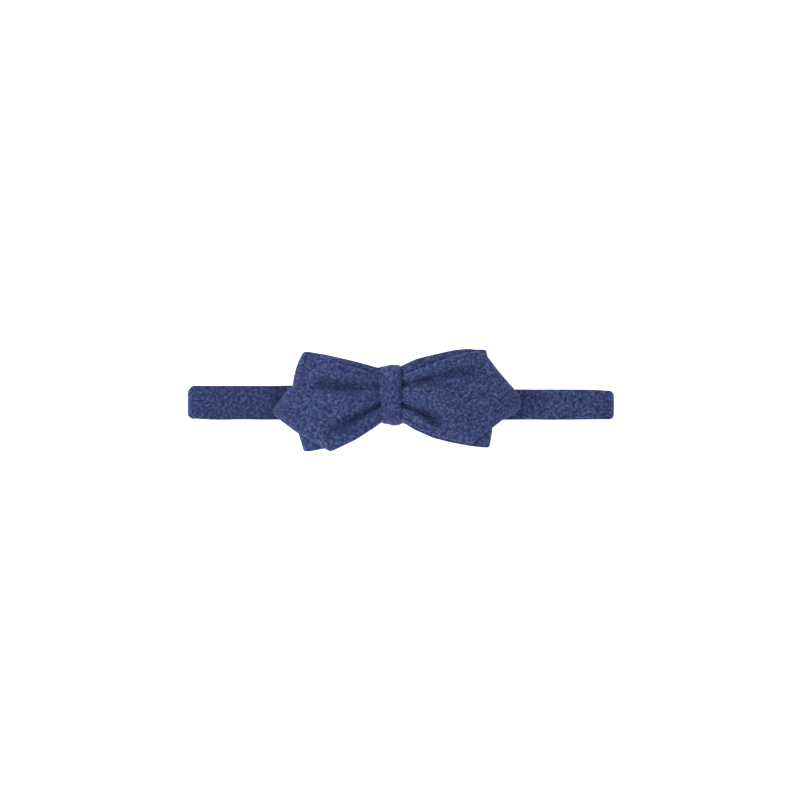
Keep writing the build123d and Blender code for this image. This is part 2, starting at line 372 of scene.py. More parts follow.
def nickel_material():
    """Nickel plate, finely brushed, with faint handling marks."""
    material, n = new_material("nickel_plate")
    place = n.add("TexCoord").outputs["Object"]
    marks = n.noise(place, 900.0, 4.0, 0.6)
    cloud = n.noise(place, 220.0)
    brushed = n.noise(n.stretch(place, (1.0, 14.0, 14.0)), 700.0)
    colour = n.ramp(cloud, [(0.3, (0.60, 0.585, 0.55)), (0.7, (0.70, 0.69, 0.665))])
    rough = n.math("ADD", 0.16, n.math("MULTIPLY", marks, 0.16))
    bump = n.add("Bump", {"Height": brushed, "Strength": 0.08, "Distance": 0.00005}).outputs[0]
    shader = {"Base Color": colour, "Metallic": 1.0, "Roughness": rough, "Normal": bump}
    n.surface(n.add("BsdfPrincipled", shader))
    return material


WOOL = wool_material()
THREAD = thread_material()
NICKEL = nickel_material()


# ---- the neckband ------------------------------------------------------------------------
def rounded_path(points):
    """Points along a line of (x, z, corner radius), with round corners."""
    line = [np.array(p[:2], float) for p in points]
    radii = [p[2] if len(p) > 2 else 0 for p in points]
    out = [line[0]]
    for i in range(1, len(line) - 1):
        before, after = line[i - 1] - line[i], line[i + 1] - line[i]
        room = min(np.linalg.norm(before), np.linalg.norm(after))
        before, after = before / np.linalg.norm(before), after / np.linalg.norm(after)
        turn = math.pi - math.acos(np.clip(before @ after, -1, 1))
        most = 0.9 if i in (1, len(line) - 2) else 0.499  # share of a side that a corner may take
        reach = min(radii[i] * math.tan(turn / 2), most * room)
        a, b = line[i] + before * reach, line[i] + after * reach
        count = max(3, int(math.degrees(turn) / 9))
        for t in np.linspace(0, 1, count):  # close to an arc, and smooth at both ends
            out.append((1 - t) ** 2 * a + 2 * t * (1 - t) * line[i] + t**2 * b)
    out.append(line[-1])
    fine = [out[0]]
    for p, q in zip(out, out[1:]):
        count = max(1, int(np.linalg.norm(q - p) / PATH_STEP))
        fine += [p + (q - p) * k / count for k in range(1, count + 1)]
    fine = np.array(fine)
    keep = np.r_[True, np.linalg.norm(np.diff(fine, axis=0), axis=1) > 1e-4]
    return fine[keep]


def band_shade_and_tone(x, z):
    """How much the neckband's colour is darkened: its left part darker, a painted shadow beside the
    left point, painted shade at its right end.
    """
    # the neckband's left part is made darker
    place, length, most = DARKER_LEFT
    left = most * float(smooth_step((place - x) / length))
    # painted shadow on the front run beside the left point
    place, length, most = PAINTED_SHADOW_SPOT
    spot = most * math.exp(-(((x - place) / length) ** 2)) * (z > FOLD_Z)
    # painted shade on the neckband's right end fold
    place, length, most = PAINTED_SHADE_RIGHT
    return left + spot + most * float(smooth_step((x - place) / length))


def round_corner(x, y, width, lift, wall, corner):
    """A strap's edge at an end fold: how far it comes in, and the half thickness there.

    corner is (which way the fold is, its x, the radii of the top and of the bottom corner, and
    how much slimmer the strap gets on the way there at the top and at the bottom).
    """
    way, fold_x, r_top, r_bottom, slim_top, slim_bottom = corner
    edge = width / 2 - np.abs(y)
    beyond = (x - fold_x) * way
    radius = np.where(y > 0, r_top, r_bottom)
    arc = np.clip(beyond - (FOLD_R + wall - radius), 0, radius)
    inset = radius - np.sqrt(radius**2 - arc**2)
    # the cloth thins towards the corner, the more so the further round the fold it is
    thin = wall - radius + np.sqrt(radius**2 - np.clip(radius - inset - edge, 0, radius) ** 2)
    thin = np.maximum(thin, THINNEST * lift)
    lift = lift + (thin - lift) * min(1, max(0, beyond / FOLD_R)) ** 2
    slim = np.where(y > 0, slim_top, slim_bottom) * min(1, max(0, 1 + beyond / SLIM_RUN)) ** 2
    return inset + slim, lift


def strap(name, path, widths, centres, along, corner=None, wall=BAND_T / 2, taper=1.0):
    """A flat woollen tube along a path of (x, z), wall thick on each side of it.

    widths and centres are those of its two ends, and it reaches the second at a taper's share
    of its length. along is (the cloth coordinate where the path starts, its direction), and
    corner is what round_corner takes.
    """
    normal = normals(np.gradient(path, axis=0, edge_order=2))
    length = lengths_along(path)
    share = np.clip(length / length[-1] / taper, 0, 1)
    verts, cloth, painted_shade_and_tone = [], [], []
    for (x, z), (nx, nz), run, t in zip(path, normal, length, share):
        width = widths[0] + (widths[1] - widths[0]) * t
        centre = centres[0] + (centres[1] - centres[0]) * t
        place = along[0] + along[1] * run
        y = rimmed(width, STRAP_RIM, 14) - width / 2
        edge = width / 2 - np.abs(y)
        outward = (2 * np.abs(y) / width) ** 2  # 0 in the middle of the strap, 1 at its edges
        lift = wall * rolled(edge, EDGE_ROLL)
        inset = np.zeros(len(y))
        if corner:
            inset, lift = round_corner(x, y, width, lift, wall, corner)
        uneven = FACE_WOBBLE * wave(place + y, 1.7) * (edge > 0.5)
        lift = lift + FULLNESS * (1 - outward) + uneven
        wobble = np.where(y > 0, wave(place, 0.4), wave(place, 2.9)) * EDGE_WOBBLE * outward
        y = y - np.sign(y) * inset * outward
        for side in (1, -1):
            order = slice(None) if side > 0 else slice(-2, 0, -1)
            px, pz = x + side * nx * lift, z + side * nz * lift
            for cx, cy, cz, shift in zip(px[order], y[order], pz[order], wobble[order]):
                verts.append((cx, centre + cy + shift, cz))
                cloth.append((place, cy, side * FACE_W))
                # painted shadow and painted shade on the neckband, and its darker left part
                painted_shade_and_tone.append(band_shade_and_tone(cx, cz))
    around = len(verts) // len(path)
    faces = tube_faces(len(path), around)
    faces.append(tuple(range(around)))
    faces.append(tuple(range((len(path) - 1) * around, len(path) * around))[::-1])
    return weld(make_mesh(name, verts, faces, cloth, WOOL, painted_shade_and_tone), 0.0001)


def level(x0, x1, z):
    """A level stretch of path, with a point about every millimetre."""
    count = 2 + int(abs(x1 - x0))
    return np.stack([np.linspace(x0, x1, count), np.linspace(z, z, count)], axis=1)


def half_turn(side, fold_x, from_top):
    """Half of an end fold, between one run and the middle of the fold."""
    angle = np.linspace(math.pi / 2, 0, 15) if from_top else np.linspace(0, -math.pi / 2, 15)
    across, up = FOLD_R * np.cos(angle), FOLD_R * np.sin(angle)
    return np.stack([fold_x + side * across, FOLD_Z + up], axis=1)


def path_length(path):
    return float(np.linalg.norm(np.diff(path, axis=0), axis=1).sum())


def with_core(*nodes):
    """These CAD nodes and the interlinings inside them."""
    return [m for n in nodes for m in (n, n + "_interlining") if m in frame["nodes"]]


def cloth_sheet(area=None):
    """Does nothing with a sheet: area, in square mm, is not used."""
    area = area and area * MM * MM


def end_fold(name, side, fold_x, lower_to, width, centre, corners, lower_nodes):
    """The two pieces that meet in the middle of an end fold: upper run and lower run."""
    start = side * MEET
    upper = np.concatenate([level(start, fold_x, FRONT_Z)[:-1], half_turn(side, fold_x, True)])
    lower = np.concatenate([half_turn(side, fold_x, False), level(fold_x, lower_to, BACK_Z)[1:]])
    upper_nodes = ("band_" + name + "_upper", "band_fold_" + name)
    for label, path, place, run_z, nodes in (
        ("upper", upper, start, FRONT_Z, upper_nodes),
        ("lower", lower, start + side * path_length(upper), BACK_Z, lower_nodes),
    ):
        obj = strap(
            f"neckband_{name}_{label}", path, (width, width), (centre, centre), (place, side),
            corner=(side, fold_x, *corners),
        )
        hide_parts(*with_core(*nodes))
        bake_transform(obj)
        cloth_sheet()


def under_the_bow():
    """The three plain stretches behind the bow."""
    bend = strap(
        "neckband_back_bend", level(-MEET, BACK_SEAM_X, BACK_Z),
        (LEFT_W, LEFT_W), (LEFT_Y, LEFT_Y), (-MEET + CUT_BACK, 1),
    )
    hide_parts(*with_core("band_back_bend"))
    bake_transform(bend)
    cloth_sheet()

    front_left = strap(
        "neckband_front_left", level(-MEET, KNOT_X, FRONT_Z),
        (LEFT_W, RIGHT_W), (LEFT_Y, RIGHT_Y), (-MEET, 1),
    )
    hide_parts(*with_core("band_front_left"))
    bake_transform(front_left)
    cloth_sheet()

    front_right = strap(
        "neckband_front_right", level(KNOT_X, MEET, FRONT_Z),
        (RIGHT_W, RIGHT_W), (RIGHT_Y, RIGHT_Y), (KNOT_X, 1),
    )
    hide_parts(*with_core("band_front_right"))
    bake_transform(front_right)
    cloth_sheet()


def eye_end():
    """The run to the eye, sewn back round its far bar."""
    eye_lo, eye_hi = span("eye_ring")
    bar_x = eye_hi[0] - EYE_WIRE / 2
    bar_z = (eye_lo[2] + eye_hi[2]) / 2
    loop = EYE_WIRE / 2 + CLEAR + BAND_T / 2
    on_top = BACK_Z + BAND_T + 0.1
    path = rounded_path(
        [
            (RIGHT_SEAM_X, BACK_Z), (bar_x - 2.2, BACK_Z, 0.9), (bar_x - loop - 0.2, bar_z, 0.7),
            (bar_x - 0.9, bar_z + loop, 0.7), (bar_x + 1.2, bar_z + loop, 1.0),
            (bar_x + 5, on_top, 2.0), (bar_x + 13, on_top),
        ]
    )
    end = strap(
        "neckband_eye_end", path,
        (RIGHT_W, RIGHT_W), (RIGHT_Y, RIGHT_Y), (RIGHT_SEAM_X + CUT_EYE, 1), wall=SLIM_WALL,
    )
    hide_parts("band_right_lower")
    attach(end, "right_lower")
    cloth_sheet()


def slide_run():
    """The back run through the slide, in two pieces that meet on top of its centre bar."""
    slide_lo, slide_hi = span("slide_adjuster")
    turn_lo, turn_hi = span("band_hook_turn")
    slide_x, bar_z = (slide_lo[0] + slide_hi[0]) / 2, (slide_lo[2] + slide_hi[2]) / 2
    pitch = (slide_hi[0] - slide_lo[0] - SLIDE_BAR) / 2  # between two of the slide's bars
    left_bar, right_bar = slide_x - pitch, slide_x + pitch
    over = span("band_slide_hump")[1][2] - BAND_T / 2
    under = bar_z - METAL_T / 2 - CLEAR - BAND_T / 2
    rise = 3.1  # from the centre bar out to where the strap goes up and down
    path = rounded_path(
        [
            (BACK_SEAM_X, BACK_Z), (left_bar - 5, BACK_Z, 2.0), (left_bar - 1, under, 1.5),
            (slide_x - rise, under, 0.9), (slide_x - rise, over, 1.3), (slide_x, over),
        ]
    )
    back_left = strap(
        "neckband_back_left", path,
        (LEFT_W, RIGHT_W), (LEFT_Y, RIGHT_Y), (BACK_SEAM_X + CUT_BACK, 1), wall=SLIM_WALL, taper=0.6,
    )
    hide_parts(*with_core("band_back_left", "band_slide_hump"))
    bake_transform(back_left)
    cloth_sheet()

    # on to the hook, round its bar, back below itself and up round the slide's centre bar
    top_z = turn_hi[2] - BAND_T / 2
    hook_z = (top_z + turn_lo[2] + BAND_T / 2) / 2
    low_z = 2 * hook_z - top_z
    turn_r = top_z - hook_z
    bar_x = turn_hi[0] - turn_r - BAND_T / 2 - TURN_SHIFT
    inner = SLIDE_BAR / 2 + CLEAR + BAND_T / 2
    tail_z = bar_z + METAL_T / 2 + CLEAR + BAND_T / 2
    out = rounded_path(
        [
            (slide_x, over), (slide_x + rise, over, 1.3), (slide_x + rise, under, 0.9),
            (right_bar + 1.5, under, 2.0), (bar_x - 5, top_z, 2.5), (bar_x, top_z),
        ]
    )
    arc = [
        (bar_x + TURN_SHIFT + turn_r * math.cos(a), hook_z + turn_r * math.sin(a))
        for a in np.linspace(math.pi / 2, -math.pi / 2, 16)
    ]
    back = rounded_path(
        [
            (bar_x, low_z), (bar_x - 5, low_z, 2.5), (bar_x - 10, BACK_Z, 2.0),
            (slide_x - inner, BACK_Z, 0.9), (slide_x - inner, tail_z, 0.9),
            (slide_x + inner, tail_z, 0.9), (slide_x + inner, BACK_Z + BAND_T + 0.4),
        ]
    )
    back_right = strap(
        "neckband_back_right", np.concatenate([out, arc, back]),
        (RIGHT_W, RIGHT_W), (RIGHT_Y, RIGHT_Y), (CUT_TAIL, 1), wall=SLIM_WALL,
    )
    nodes = ("band_back_right", "band_hook_turn", "band_tail", "band_tail_end", "band_slide_hump")
    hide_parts(*with_core(*nodes))
    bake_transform(back_right)
    cloth_sheet()


def neckband():
    """The ring's ten straps. Each end's corners are the last four values that round_corner takes."""
    end_fold(
        "left", -1, LEFT_FOLD_X, -MEET, LEFT_W, LEFT_Y, (4.0, 2.7, 0.05, 0.45),
        ("band_fold_left", "band_left_lower"),
    )
    under_the_bow()
    end_fold(
        "right", 1, RIGHT_FOLD_X, RIGHT_SEAM_X, RIGHT_W, RIGHT_Y, (2.7, 2.3, 0.45, 0.1),
        ("band_fold_right",),
    )
    eye_end()
    slide_run()


# ---- the bow -----------------------------------------------------------------------------
def outline(points, soften):
    """A curve y(x) through points, its corners rounded over about soften mm."""
    beyond = 6  # the curve goes on straight for this far past its two ends
    xs, ys = np.array(points, float).T
    fine = np.linspace(xs[0] - beyond, xs[-1] + beyond, 4001)
    values = np.interp(fine, xs, ys)
    slope_a = (ys[1] - ys[0]) / (xs[1] - xs[0])
    slope_b = (ys[-1] - ys[-2]) / (xs[-1] - xs[-2])
    values = np.where(fine < xs[0], ys[0] + slope_a * (fine - xs[0]), values)
    values = np.where(fine > xs[-1], ys[-1] + slope_b * (fine - xs[-1]), values)
    step = fine[1] - fine[0]
    reach = np.arange(-int(3 * soften / step), int(3 * soften / step) + 1) * step
    kernel = np.exp(-0.5 * (reach / soften) ** 2)
    pad = len(reach) // 2
    extended = np.r_[values[0] + slope_a * step * np.arange(-pad, 0), values,
                     values[-1] + slope_b * step * np.arange(1, pad + 1)]
    smooth = np.convolve(extended, kernel / kernel.sum(), "valid")
    return lambda x: np.interp(x, fine, smooth)


FRONT_TOP = outline(
    [
        (-62.2, -4.2), (-54.3, 5.6), (-40.0, 17.0), (-37.0, 18.0), (-30.0, 17.9), (-22.9, 16.3),
        (-15.5, 13.6), (-10.5, 12.4), (1.0, 12.6), (9.0, 15.3), (17.0, 18.2), (24.4, 21.0),
        (31.8, 23.2), (38.0, 23.8), (41.3, 22.4), (47.1, 14.7), (52.1, 8.8), (56.0, 4.5),
        (57.8, 2.4), (58.4, 0.5),
    ],
    0.9,
)
FRONT_BOTTOM = outline(
    [
        (-62.2, -7.0), (-58.0, -10.4), (-50.5, -16.0), (-42.0, -20.8), (-34.2, -25.3), (-22.1, -19.5),
        (-12.3, -13.2), (-9.0, -10.6), (0.8, -10.2), (7.3, -13.6), (17.1, -17.6), (26.9, -20.1),
        (34.6, -21.4), (45.3, -13.0), (50.2, -9.3), (54.6, -7.4), (57.2, -5.4), (58.4, -3.4),
    ],
    0.9,
)
LOOP_TOP = outline(
    [
        (-47.4, 23.5), (-39.0, 22.2), (-31.9, 20.7), (-24.6, 19.2), (-17.2, 17.4), (-12.3, 16.1),
        (-8.0, 15.2), (-2.0, 15.2), (1.5, 16.6), (9.7, 20.1), (19.5, 22.3), (29.3, 24.3),
        (36.7, 25.0), (40.8, 24.6),
    ],
    0.8,
)
LOOP_BOTTOM = outline(
    [
        (-47.0, -25.0), (-39.3, -23.7), (-30.0, -20.5), (-18.0, -14.5), (-9.0, -10.4), (0.8, -10.6),
        (7.3, -14.4), (17.1, -18.5), (26.9, -20.8), (36.7, -22.5), (43.6, -23.2),
    ],
    0.8,
)
LOOP_LEFT, LOOP_RIGHT = -47.4, 43.6  # the ends of the loop's two outlines
LOOP_TOP_END = 40.8  # but the upper one is level from here
LEFT_TIP, RIGHT_TIP = -62.3, 58.5  # the ends of the front strip
LEFT_WING, RIGHT_WING = 57.5, 64.0  # from the knot to each tip


def near_line(x, y, line):
    """Distance to a line of points, and how far along it (0 to 1) the nearest point is."""
    start = lengths_along(line)
    start = start / start[-1]
    best = np.full(np.shape(x), 1e9)
    share = np.zeros(np.shape(x))
    for k in range(len(line) - 1):
        d = line[k + 1] - line[k]
        t = np.clip(((x - line[k, 0]) * d[0] + (y - line[k, 1]) * d[1]) / (d @ d), 0, 1)
        dist = np.hypot(x - (line[k, 0] + t * d[0]), y - (line[k, 1] + t * d[1]))
        closer = dist < best
        best = np.where(closer, dist, best)
        share = np.where(closer, start[k] + t * (start[k + 1] - start[k]), share)
    return best, share


# each valley of the front strip, from the knot outwards: points of (x, y, half width, depth)
VALLEYS = (
    [
        (-8, 6.2, 1.3, 2.4), (-15, 6.3, 1.7, 3.4), (-22, 6.4, 2.3, 5.6), (-30, 6.9, 2.7, 6.0),
        (-37, 7.4, 3.0, 5.0), (-43, 7.6, 3.4, 2.6), (-52, 8.0, 4.2, 0.0),
    ],
    [
        (-7, -1.2, 1.2, 2.6), (-10, -2.6, 1.3, 3.4), (-15, -5.4, 1.5, 4.6),
        (-22, -9.8, 2.4, 6.2), (-29, -13.4, 3.4, 4.4), (-37, -17.0, 4.0, 0.0),
    ],
    [
        (-1, 7.4, 1.3, 2.8), (5, 7.7, 1.6, 3.8), (12, 9.5, 1.8, 5.6), (20, 11.5, 2.2, 5.6),
        (28, 13.4, 2.4, 4.8), (36, 13.8, 2.8, 3.6), (44, 14.0, 2.8, 0.0),
    ],
    [
        (-1, -1.8, 1.2, 2.8), (5, -3.7, 1.4, 4.0), (12, -6.5, 2.3, 6.2), (18, -9.9, 3.0, 5.0),
        (26, -14.6, 3.4, 0.0),
    ],
    [(12, 8.2, 1.4, 0.0), (20, 7.8, 1.8, 2.2), (28, 6.8, 2.0, 2.6), (36, 7.0, 2.0, 0.0)],
)
# the hem of the front strip is a soft roll with a groove inside it: (x, depth)
HEM_GROOVE = [
    (-44, 0.0), (-34, 0.8), (-28, 1.6), (-14, 1.6), (-9, 0.6), (2, 0.5), (12, 0.3), (40, 0.3),
    (50, 0.0),
]
LOWER_GROOVE = [
    (-30, 0.0), (-20, 0.4), (0, 0.4), (5, 1.0), (14, 1.1), (24, 0.5), (34, 0.0),
]
DEEPEST = 6.0  # the painted shade in the valleys is darkest at this depth of valley


def crease(x, y):
    """Depth of the valleys at a place, mm."""
    total = np.zeros(np.shape(x))
    for valley in VALLEYS:
        line = np.array(valley, float)
        far, share = near_line(x, y, line[:, :2])
        along = lengths_along(line[:, :2])
        along = along / along[-1]
        width = np.interp(share, along, line[:, 2])
        depth = np.interp(share, along, line[:, 3])
        depth = depth * (1 + 0.12 * wave(x * 1.6 + 7 * line[1, 1], 1.1))
        total = total + depth * np.exp(-((far / width) ** 2.4))
    return total


def front_height(x, y, top, bottom):
    """Mid-surface of the front strip between its two edges, top and bottom."""
    wing = np.where(x < KNOT_X, (KNOT_X - x) / LEFT_WING, (x - KNOT_X) / RIGHT_WING)
    # pinched at the knot, highest a quarter of the way out, falling towards the tip
    droop = np.where(x < KNOT_X, 4.6, 3.8)
    z = 16.4 + 3.5 * smooth_step(wing / 0.28) - droop * smooth_step((wing - 0.40) / 0.60)
    # rolled down over the last 5 mm, and creased
    edge = np.minimum(top - y, y - bottom)
    z = z - 1.8 * (1 - np.clip(edge / 5.0, 0, 1)) ** 2
    z = z - crease(x, y)
    # the grooves lie 3.0 mm inside the upper edge and 2.6 mm inside the lower one
    groove = np.interp(x, *np.array(HEM_GROOVE).T)
    lower = np.interp(x, *np.array(LOWER_GROOVE).T)
    z = z - groove * np.exp(-(((top - y - 3.0) / 1.1) ** 2))
    z = z - lower * np.exp(-(((y - bottom - 2.6) / 0.9) ** 2))
    # it dips where it goes under the wrap
    z = z - 0.9 * np.exp(-(((x - KNOT_X) / 6.0) ** 4))
    z = z + 0.22 * wave(x * 1.3 + y * 0.8, 5.1) * smooth_step(wing * 2)
    return z


def front_strip():
    """The double-pointed strip: a closed sheet on a grid, thin at its rim."""
    ends = np.array([0, 0.05, 0.15, 0.35, 0.6, 0.95, 1.4])
    inside = np.arange(LEFT_TIP + 2.0, RIGHT_TIP - 1.9, 0.55)
    xs = np.r_[LEFT_TIP + ends, inside, (RIGHT_TIP - ends)[::-1]]
    top, bottom = FRONT_TOP(xs), FRONT_BOTTOM(xs)
    # blunt, rounded tips
    for away in (xs - LEFT_TIP, RIGHT_TIP - xs):
        trim = 1.2 * (1 - rolled(away, 1.6))
        top, bottom = top - trim, bottom + trim
    inner = np.linspace(0, 1, 66)[1:-1]
    rows, columns = len(xs), 2 * len(SHEET_RIM) + len(inner)
    y = np.empty((rows, columns))
    for i in range(rows):
        rim = SHEET_RIM * min(1.0, 0.3 * (top[i] - bottom[i]) / SHEET_RIM[-1])
        lo, hi = bottom[i] + rim, top[i] - rim
        y[i] = np.r_[lo, lo[-1] + (hi[-1] - lo[-1]) * inner, hi[::-1]]
    x = np.repeat(xs[:, None], columns, axis=1)
    top, bottom = top[:, None], bottom[:, None]
    mid = front_height(x, y, top, bottom)
    edge = np.minimum.reduce([top - y, y - bottom, x - LEFT_TIP, RIGHT_TIP - x])
    half = 1.15 * (rolled(edge, 1.1) * (0.86 + 0.14 * smooth_step((edge - 1.5) / 5)))
    weave = ((y - bottom) / (top - bottom) - 0.5) * np.clip(top - bottom, 30, 60)
    # painted shade, darkest in the deepest valleys of the front strip
    painted_shade_and_tone = smooth_step(crease(x, y) / DEEPEST).ravel()
    verts, cloth, faces = [], [], []
    for side in (1, -1):
        verts.append(np.dstack([x, y, mid + side * half]).reshape(-1, 3))
        cloth.append(np.dstack([x, weave, np.full(x.shape, side * FACE_W)]).reshape(-1, 3))
        faces += grid_faces(rows, columns, start=0 if side > 0 else rows * columns, flip=side > 0)
    verts, cloth = np.concatenate(verts), np.concatenate(cloth)
    painted_shade_and_tone = np.r_[painted_shade_and_tone, painted_shade_and_tone]
    obj = weld(make_mesh("front_strip", verts, faces, cloth, WOOL, painted_shade_and_tone), 0.003)
    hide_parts("front_blade_face", "front_blade_interlining", "front_blade_lining")
    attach(obj, "bow")
    cloth_sheet(area=4200)


def loop_end(side, v):
    """x of the loop's left (-1) or right end, at a share v of its height."""
    if side < 0:
        return -46.6 - 5.5 * (1 - (2 * v**1.25 - 1) ** 2) ** 0.9
    return 42.4 - 1.7 * v + 2.9 * (1 - (2 * v - 1) ** 2)


def back_loop():
    """The back strip, folded into a loop that is flattened and gathered at the knot."""
    half = 0.75  # half its thickness
    turn = 2.0  # how far its two folded ends stand out
    low_z = 10.1  # height of its back layer
    count = 150  # columns of points along each layer
    shares = rimmed(1, SHEET_RIM / 45, 64)
    u = np.linspace(0, 1, count)
    ref = LOOP_LEFT + (LOOP_RIGHT - LOOP_LEFT) * u
    x, y = np.empty((len(shares), count)), np.empty((len(shares), count))
    for row, v in enumerate(shares):
        left, right = loop_end(-1, v) + turn, loop_end(1, v) - turn
        x[row] = left + (right - left) * u
        low, high = LOOP_BOTTOM(ref), LOOP_TOP(np.minimum(ref, LOOP_TOP_END))
        y[row] = low + (high - low) * v
    # its front layer lies under the front strip, and never touches the back one
    over = np.clip(x, -62, 59)
    strip_top = np.maximum(FRONT_TOP(over), y + 6)
    strip_bottom = np.minimum(FRONT_BOTTOM(over), y - 6)
    front = front_height(x, y, strip_top, strip_bottom)
    away = np.minimum(1, np.abs(x - KNOT_X) / 45)
    top_z = np.minimum(front - 2.15, 16.3 - 2.2 * smooth_step((away - 0.55) / 0.45))
    top_z = np.maximum(top_z, low_z + 2 * half + 0.1)
    # once round: front layer, right turn, back layer, left turn
    centres, outwards, places = [], [], []

    def column(cx, cy, cz, ax, az, place):
        centres.append((cx, cy, cz + 0 * cx))
        outwards.append((ax + 0 * cx, az + 0 * cx))
        places.append(place)

    arc = np.linspace(math.pi / 2, -math.pi / 2, 13)[1:-1]
    for i in range(count):
        column(x[:, i], y[:, i], top_z[:, i], 0, 1, x[:, i])
    r = (top_z[:, -1] - low_z) / 2
    for a in arc:
        column(x[:, -1] + turn * math.cos(a), y[:, -1], low_z + r + r * math.sin(a),
               math.cos(a), math.sin(a), x[:, -1] + turn * (math.pi / 2 - a))
    for i in range(count - 1, -1, -1):
        column(x[:, i], y[:, i], low_z, 0, -1, 100 - x[:, i])
    r = (top_z[:, 0] - low_z) / 2
    for a in arc[::-1]:
        column(x[:, 0] - turn * math.cos(a), y[:, 0], low_z + r + r * math.sin(a),
               -math.cos(a), math.sin(a), x[:, 0] - turn * (math.pi / 2 - a))
    centres, outwards, places = np.array(centres), np.array(outwards), np.array(places)
    X, Y, Z = centres.transpose(1, 0, 2)
    NX, NZ = outwards.transpose(1, 0, 2)
    weave = (shares[None, :] - 0.5) * 47 + 0 * X
    lift = half * rolled(np.minimum(Y - Y[:, :1], Y[:, -1:] - Y), 0.9)
    verts, cloth = [], []
    for side in (1, -1):
        verts.append(np.dstack([X + side * lift * NX, Y, Z + side * lift * NZ]).reshape(-1, 3))
        which = np.full(X.shape, side * FACE_W + CUT_LOOP[1])
        cloth.append(np.dstack([places + CUT_LOOP[0], weave, which]).reshape(-1, 3))
    faces = []
    rings, cols = X.shape
    total = rings * cols
    for i in range(rings):
        k = (i + 1) % rings
        for j in range(cols - 1):
            a, b, c, d = i * cols + j, i * cols + j + 1, k * cols + j + 1, k * cols + j
            faces.append((a, b, c, d))
            faces.append((a + total, d + total, c + total, b + total))
    verts, cloth = np.concatenate(verts), np.concatenate(cloth)
    obj = weld(make_mesh("back_loop", verts, faces, cloth, WOOL), 0.003)
    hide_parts("back_loop_outer", "back_loop_interlining", "back_loop_lining")
    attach(obj, "bow")
    cloth_sheet(area=7400)


def knot_path(y0, y1, bottom, top):
    """The way the wrap follows, seen along X: over the gathers, round both ends, flat behind."""
    mid, reach, side_h = (y0 + y1) / 2, (y1 - y0) / 2, 4.4
    path = []
    for t in np.linspace(-1, 1, 61):
        rise = (top - bottom - side_h) * (1 - abs(t) ** 3.6) ** 0.5
        path.append((mid + t * (y1 - y0) / 2, bottom + side_h + rise))
    for a in np.linspace(0, 1, 15)[1:-1]:
        down = side_h * math.sin(a * math.pi / 2)
        path.append((y1 - 0.5 * a - 2.4 * a**3, bottom + side_h - down))
    for t in np.linspace(1, -1, 41):
        path.append((mid + t * (reach - 2.9), bottom))
    for a in np.linspace(1, 0, 15)[1:-1]:
        down = side_h * math.sin(a * math.pi / 2)
        path.append((y0 + 0.5 * a + 2.4 * a**3, bottom + side_h - down))
    return np.array(path)


def knot():
    """The wrap round the middle, with the soft upright pleats of the cloth pulled round it."""
    bottom, top = span("knot_wrap")[0][2] + 0.6, 17.8
    y0, y1 = -10.9, 15.7
    half = 0.55  # half its thickness
    path = knot_path(y0, y1, bottom, top)
    normal = normals(np.roll(path, -1, axis=0) - np.roll(path, 1, axis=0))
    verts, cloth = [], []
    for (y, z), (ny, nz), place in zip(path, normal, lengths_along(path)):
        up = smooth_step((z - bottom) / 8)
        height = np.clip((y - y0) / (y1 - y0), 0, 1)
        left = -9.0 - 2.3 * height * up + 0.2 * wave(y * 2, 0.8)
        right = 0.35 + 0.12 * wave(y * 2, 4.4)
        width = right - left
        s = rimmed(width, STRAP_RIM, 22)
        edge = np.minimum(s, width - s)
        c = s / width * 2 - 1
        pleats = 0.13 * np.cos(c * 7.4 + 0.5 * np.sin(y / 7)) + 0.06 * np.cos(c * 15 + 1.3 + y / 9)
        skew = c - 0.42 * (1 - c**2)  # the crown is fuller on the right
        crown = 1.2 * (1 - np.abs(skew) ** 2.0) + pleats * up * np.clip(edge / 1.2, 0, 1)
        crown = crown * (0.8 + 0.2 * up)
        lift = half * rolled(edge, 0.8)
        for side in (1, -1):
            order = slice(None) if side > 0 else slice(-2, 0, -1)
            for k, o in zip(s[order], (crown + side * lift)[order]):
                verts.append((left + k, y + ny * o, z + nz * o))
                cloth.append((place + CUT_KNOT, k, side * FACE_W))
    faces = tube_faces(len(path), len(verts) // len(path), closed=True)
    obj = weld(make_mesh("knot", verts, faces, cloth, WOOL), 0.0001)
    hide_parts("knot_wrap", "knot_interlining")
    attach(obj, "bow")
    cloth_sheet()


# ---- stitches ----------------------------------------------------------------------------
def stitches(node, ends, body, sag=0.16):
    """Sewn threads: one round strand for each pair of ends, dipping into the cloth at both."""
    verts, cloth, faces = [], [], []
    sides, steps, radius = 8, 11, 0.17
    for number, (start, end) in enumerate(ends):
        start, end = np.array(start, float), np.array(end, float)
        axis = (end - start) / np.linalg.norm(end - start)
        across_it = np.array([-axis[1], axis[0], 0.0])
        base = len(verts)
        for k in range(steps):
            t = k / (steps - 1)
            centre = start + (end - start) * t
            centre[2] += sag * (0.5 - (2 * t - 1) ** 4)
            thick = radius * (0.55 + 0.45 * (1 - (2 * t - 1) ** 6))
            for j in range(sides):
                a = 2 * math.pi * j / sides
                across = math.cos(a) * across_it + math.sin(a) * np.array([0, 0, 1.0])
                verts.append(centre + thick * across)
                cloth.append((t * np.linalg.norm(end - start) + 5 * number, a * radius, 0))
        for k in range(steps - 1):
            for j in range(sides):
                a, b = base + k * sides + j, base + k * sides + (j + 1) % sides
                faces.append((a, b, b + sides, a + sides))
        faces.append(tuple(range(base, base + sides)))
        faces.append(tuple(range(base + (steps - 1) * sides, base + steps * sides))[::-1])
    obj = weld(make_mesh(node + "_threads", verts, faces, cloth, THREAD), 0.0001)
    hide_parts(node)
    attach(obj, body)


